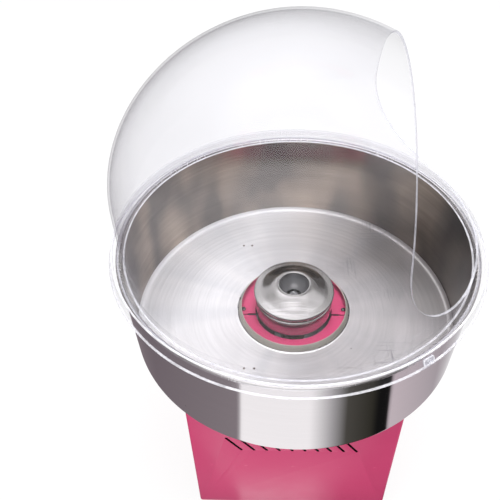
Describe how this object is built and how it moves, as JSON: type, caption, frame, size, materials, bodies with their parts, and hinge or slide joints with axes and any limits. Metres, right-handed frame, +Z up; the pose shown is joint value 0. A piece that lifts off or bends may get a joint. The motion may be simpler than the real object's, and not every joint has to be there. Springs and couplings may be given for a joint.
{
  "type": "cotton candy machine",
  "caption": "Table-top floss spinner: square pink cabinet with controls and a drawer, round steel bowl with a spinning head, and a clear domed cover open at the front.",
  "frame": {"origin": "on the counter, under the middle of the machine and on the spinner's axis", "axes": "+Z up along the spinner's axis, +X towards the operator, out of the side with the controls and the drawer"},
  "size_m": [0.54, 0.54, 0.838],
  "materials": {
    "pink_paint": "satin powder coat",
    "bowl_steel": "spun and polished stainless",
    "head_steel": "polished",
    "zinc_steel": "zinc plated",
    "bare_steel": "ground",
    "aluminium": "cast or brushed",
    "brass": "turned",
    "dark_copper": "varnished winding",
    "black_steel": "black enamel",
    "black_plastic": "fine grain",
    "gloss_black": "gloss",
    "rubber": "moulded",
    "white_plastic": "moulded",
    "red_plastic": "gloss",
    "phenolic": "machined laminate",
    "carbon": "pressed carbon",
    "clear_plastic": "clear moulded"
  },
  "bodies": {
    "cabinet": {"side_panel_left": "pink_paint", "side_panel_right": "pink_paint", "top_plate_left": "pink_paint", "top_plate_right": "pink_paint", "front_panel": "pink_paint", "back_panel": "pink_paint", "seam_screw_front": "zinc_steel", "seam_screw_back": "zinc_steel", "base_plate": "zinc_steel", "motor_shelf": "zinc_steel", "drawer_runner_left": "zinc_steel", "drawer_runner_right": "zinc_steel", "motor_mount_plate": "zinc_steel", "brush_bracket": "zinc_steel", "foot_front_left": "rubber", "foot_front_right": "rubber", "foot_back_left": "rubber", "foot_back_right": "rubber", "rubber_mount_1": "rubber", "rubber_mount_2": "rubber", "rubber_mount_3": "rubber", "rubber_mount_4": "rubber", "power_switch_body": "black_plastic", "heat_switch_body": "black_plastic", "inlet_socket": "black_plastic", "fuse_holder": "black_plastic", "control_plate": "aluminium", "motor_bell_lower": "aluminium", "motor_bell_upper": "aluminium", "motor_capacitor": "aluminium", "voltmeter_case": "gloss_black", "voltmeter_dial": "white_plastic", "terminal_block": "white_plastic", "voltmeter_lens": "clear_plastic", "motor_can": "black_steel", "bearing_lower": "bare_steel", "bearing_upper": "bare_steel", "brush_block": "phenolic", "brush_lower": "carbon", "brush_upper": "carbon"},
    "spinner": {"spin_shaft": "bare_steel", "motor_rotor": "dark_copper", "slip_ring_hub": "phenolic", "slip_ring_lower": "brass", "slip_ring_upper": "brass", "head_cup": "head_steel", "floss_band": "head_steel", "heater_ring": "dark_copper", "head_cap": "head_steel", "head_nut": "head_steel"},
    "bowl_body": {"bowl": "bowl_steel"},
    "cover_body": {"clear_cover": "clear_plastic", "cover_catch": "clear_plastic"},
    "drawer": {"drawer_tray": "zinc_steel", "drawer_front": "pink_paint", "drawer_handle": "black_plastic"},
    "power_rocker_body": {"power_rocker": "red_plastic"},
    "heat_rocker_body": {"heat_rocker": "black_plastic"},
    "needle_body": {"voltmeter_needle": "red_plastic"},
    "fuse_cap_body": {"fuse_cap": "black_plastic"}
  },
  "joints": [
    {"name": "head_spin", "type": "hinge", "parent": "cabinet", "child": "spinner", "pos_m": [0, 0, 0.24], "axis": [0, 0, 1], "continuous": true},
    {"name": "bowl_lift", "type": "slide", "parent": "cabinet", "child": "bowl_body", "axis": [0, 0, 1], "range_m": [0, 0.12]},
    {"name": "cover_lift", "type": "slide", "parent": "bowl_body", "child": "cover_body", "axis": [0, 0, 1], "range_m": [0, 0.2]},
    {"name": "drawer_slide", "type": "slide", "parent": "cabinet", "child": "drawer", "axis": [1, 0, 0], "range_m": [0, 0.2]},
    {"name": "power_tip", "type": "hinge", "parent": "cabinet", "child": "power_rocker_body", "pos_m": [0.1676, -0.062, 0.258], "axis": [0, 1, 0], "range_deg": [-16, 0]},
    {"name": "heat_tip", "type": "hinge", "parent": "cabinet", "child": "heat_rocker_body", "pos_m": [0.1676, 0.062, 0.258], "axis": [0, 1, 0], "range_deg": [-16, 0]},
    {"name": "needle_swing", "type": "hinge", "parent": "cabinet", "child": "needle_body", "pos_m": [0.1718, 0, 0.242], "axis": [1, 0, 0], "range_deg": [-80, 0], "stiffness_Nm_per_rad": 0.0005, "springref_deg": 5.73},
    {"name": "fuse_cap_pull", "type": "slide", "parent": "cabinet", "child": "fuse_cap_body", "axis": [-1, 0, 0], "range_m": [0, 0.02]}
  ]
}
